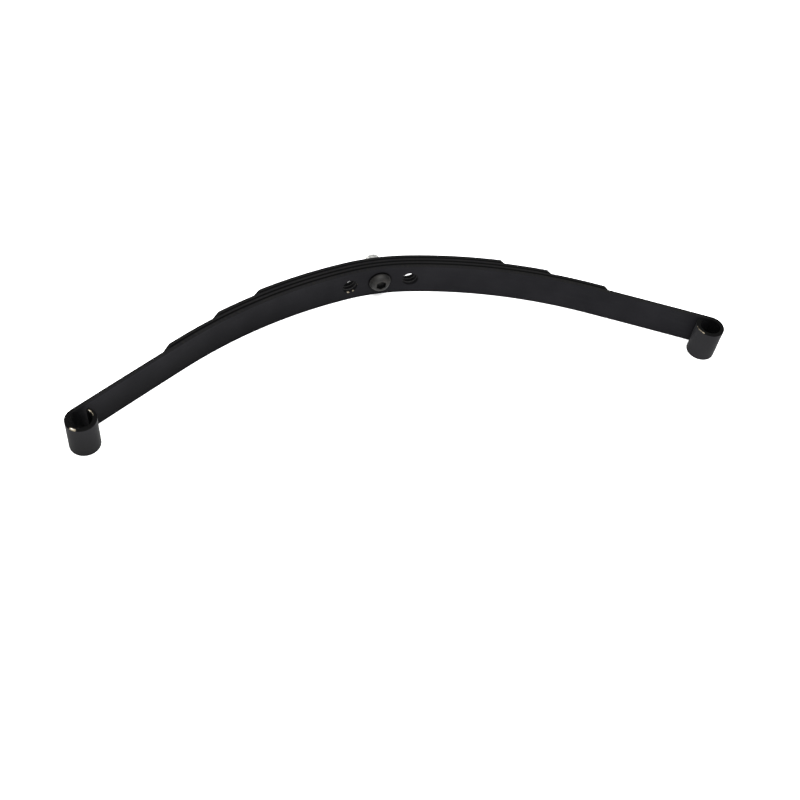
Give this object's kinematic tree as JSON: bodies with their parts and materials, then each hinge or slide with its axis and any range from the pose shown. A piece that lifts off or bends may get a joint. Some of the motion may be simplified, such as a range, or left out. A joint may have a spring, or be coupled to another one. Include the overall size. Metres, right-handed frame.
{
  "type": "leaf spring",
  "caption": "Semi-elliptic leaf spring: graduated leaves with trimmed tips, rolled eyes on the main leaf, side holes, and a socket-head centre bolt with lock nut.",
  "frame": {"origin": "centre bolt axis on the main leaf's concave face, at the middle of its width", "axes": "+X along the spring, +Y towards the convex side and the nut, +Z across the leaves; the spring lies on the leaves' side edges"},
  "size_m": [0.6858, 0.198, 0.0382],
  "materials": {
    "painted_spring_steel": "satin black paint",
    "black_oxide_steel": "black oxide",
    "zinc_plated_steel": "bright zinc plate",
    "nylon": "natural nylon"
  },
  "bodies": {
    "seat": {"main_leaf_seat": "painted_spring_steel", "second_leaf_seat": "painted_spring_steel", "third_leaf_seat": "painted_spring_steel", "fourth_leaf_seat": "painted_spring_steel", "centre_bolt": "black_oxide_steel", "flat_washer": "zinc_plated_steel", "lock_nut": "zinc_plated_steel", "lock_nut_insert": "nylon"},
    "main_left_arm": {"main_leaf_left_arm": "painted_spring_steel"},
    "second_left_arm": {"second_leaf_left_arm": "painted_spring_steel"},
    "third_left_arm": {"third_leaf_left_arm": "painted_spring_steel"},
    "fourth_left_arm": {"fourth_leaf_left_arm": "painted_spring_steel"},
    "main_right_arm": {"main_leaf_right_arm": "painted_spring_steel"},
    "second_right_arm": {"second_leaf_right_arm": "painted_spring_steel"},
    "third_right_arm": {"third_leaf_right_arm": "painted_spring_steel"},
    "fourth_right_arm": {"fourth_leaf_right_arm": "painted_spring_steel"}
  },
  "joints": [
    {"name": "main_left_flex", "type": "hinge", "parent": "seat", "child": "main_left_arm", "pos_m": [-0.09117, -0.01221, 0], "axis": [0, 0, -1], "range_deg": [-2, 15], "stiffness_Nm_per_rad": 740},
    {"name": "second_left_flex", "type": "hinge", "parent": "seat", "child": "second_left_arm", "pos_m": [-0.09241, -0.00757, 0], "axis": [0, 0, -1], "range_deg": [-2, 15]},
    {"name": "third_left_flex", "type": "hinge", "parent": "seat", "child": "third_left_arm", "pos_m": [-0.09365, -0.00293, 0], "axis": [0, 0, -1], "range_deg": [-2, 15]},
    {"name": "fourth_left_flex", "type": "hinge", "parent": "seat", "child": "fourth_left_arm", "pos_m": [-0.09489, 0.00171, 0], "axis": [0, 0, -1], "range_deg": [-2, 15]},
    {"name": "main_right_flex", "type": "hinge", "parent": "seat", "child": "main_right_arm", "pos_m": [0.09117, -0.01221, 0], "axis": [0, 0, 1], "range_deg": [-2, 15], "stiffness_Nm_per_rad": 740},
    {"name": "second_right_flex", "type": "hinge", "parent": "seat", "child": "second_right_arm", "pos_m": [0.09241, -0.00757, 0], "axis": [0, 0, 1], "range_deg": [-2, 15]},
    {"name": "third_right_flex", "type": "hinge", "parent": "seat", "child": "third_right_arm", "pos_m": [0.09365, -0.00293, 0], "axis": [0, 0, 1], "range_deg": [-2, 15]},
    {"name": "fourth_right_flex", "type": "hinge", "parent": "seat", "child": "fourth_right_arm", "pos_m": [0.09489, 0.00171, 0], "axis": [0, 0, 1], "range_deg": [-2, 15]}
  ],
  "couplings": [
    {"joint": "second_left_flex", "follows": "main_left_flex", "ratio": 1},
    {"joint": "third_left_flex", "follows": "main_left_flex", "ratio": 1},
    {"joint": "fourth_left_flex", "follows": "main_left_flex", "ratio": 1},
    {"joint": "second_right_flex", "follows": "main_right_flex", "ratio": 1},
    {"joint": "third_right_flex", "follows": "main_right_flex", "ratio": 1},
    {"joint": "fourth_right_flex", "follows": "main_right_flex", "ratio": 1}
  ]
}
